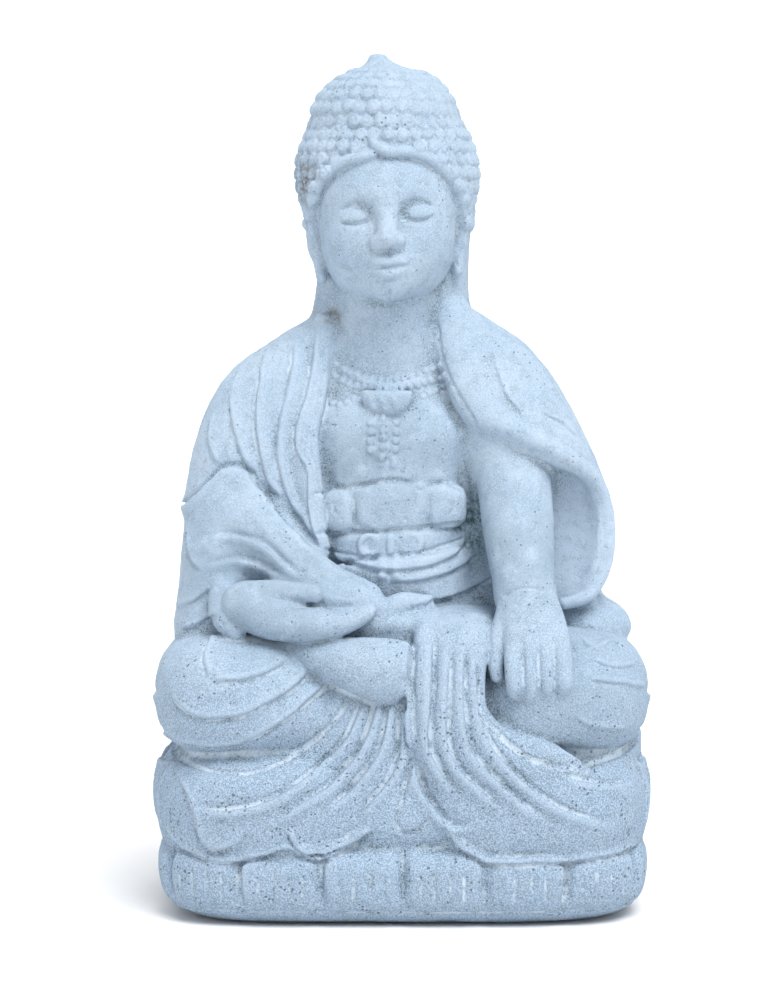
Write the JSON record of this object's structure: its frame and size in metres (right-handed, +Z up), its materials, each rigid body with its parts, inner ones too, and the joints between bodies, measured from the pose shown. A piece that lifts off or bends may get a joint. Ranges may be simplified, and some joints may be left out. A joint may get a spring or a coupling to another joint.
{
  "type": "buddha statue",
  "caption": "Seated robed garden Buddha of weathered cast stone on a lotus plinth, curled hair, one hand palm up in the lap, the other over the knee.",
  "frame": {"origin": "middle of the underside of the plinth", "axes": "+Z up, the figure faces -Y, and its right hand is on the -X side"},
  "size_m": [0.291, 0.2, 0.5],
  "materials": {
    "cast_stone": "weathered, sandy, with small pits and pale deposits in the creases",
    "steel_bar": "plain reinforcing bar, slightly rusted"
  },
  "bodies": {
    "root": {"back_robe": "cast_stone", "belt_buckle": "cast_stone", "belt_lower": "cast_stone", "belt_plaques": "cast_stone", "belt_upper": "cast_stone", "cape_rim": "cast_stone", "centre_drape": "cast_stone", "crown_knob": "cast_stone", "crown_mound": "cast_stone", "ear_left": "cast_stone", "ear_right": "cast_stone", "hair_cap": "cast_stone", "hairline_band": "cast_stone", "lap_robe": "cast_stone", "left_cape": "cast_stone", "left_forearm": "cast_stone", "left_hand": "cast_stone", "left_knee": "cast_stone", "left_lapel": "cast_stone", "left_robe_tail": "cast_stone", "left_skirt": "cast_stone", "left_wrist_band": "cast_stone", "lotus_petal_01": "cast_stone", "lotus_petal_02": "cast_stone", "lotus_petal_03": "cast_stone", "lotus_petal_04": "cast_stone", "lotus_petal_05": "cast_stone", "lotus_petal_06": "cast_stone", "lotus_petal_07": "cast_stone", "lotus_petal_08": "cast_stone", "lotus_petal_09": "cast_stone", "lotus_petal_10": "cast_stone", "lotus_petal_11": "cast_stone", "lotus_petal_12": "cast_stone", "lotus_petal_13": "cast_stone", "lotus_petal_14": "cast_stone", "lotus_petal_15": "cast_stone", "lotus_petal_16": "cast_stone", "lotus_petal_17": "cast_stone", "lotus_petal_18": "cast_stone", "neck": "cast_stone", "necklace": "cast_stone", "pendant": "cast_stone", "pendant_beads": "cast_stone", "plinth": "cast_stone", "reinforcing_bar": "steel_bar", "right_cuff": "cast_stone", "right_hand": "cast_stone", "right_knee": "cast_stone", "right_lapel": "cast_stone", "right_shoulder_robe": "cast_stone", "right_skirt": "cast_stone", "right_sleeve": "cast_stone", "sash": "cast_stone", "sash_knot": "cast_stone", "skull_and_face": "cast_stone", "torso": "cast_stone", "upturned_foot": "cast_stone", "veil": "cast_stone"}
  },
  "joints": []
}
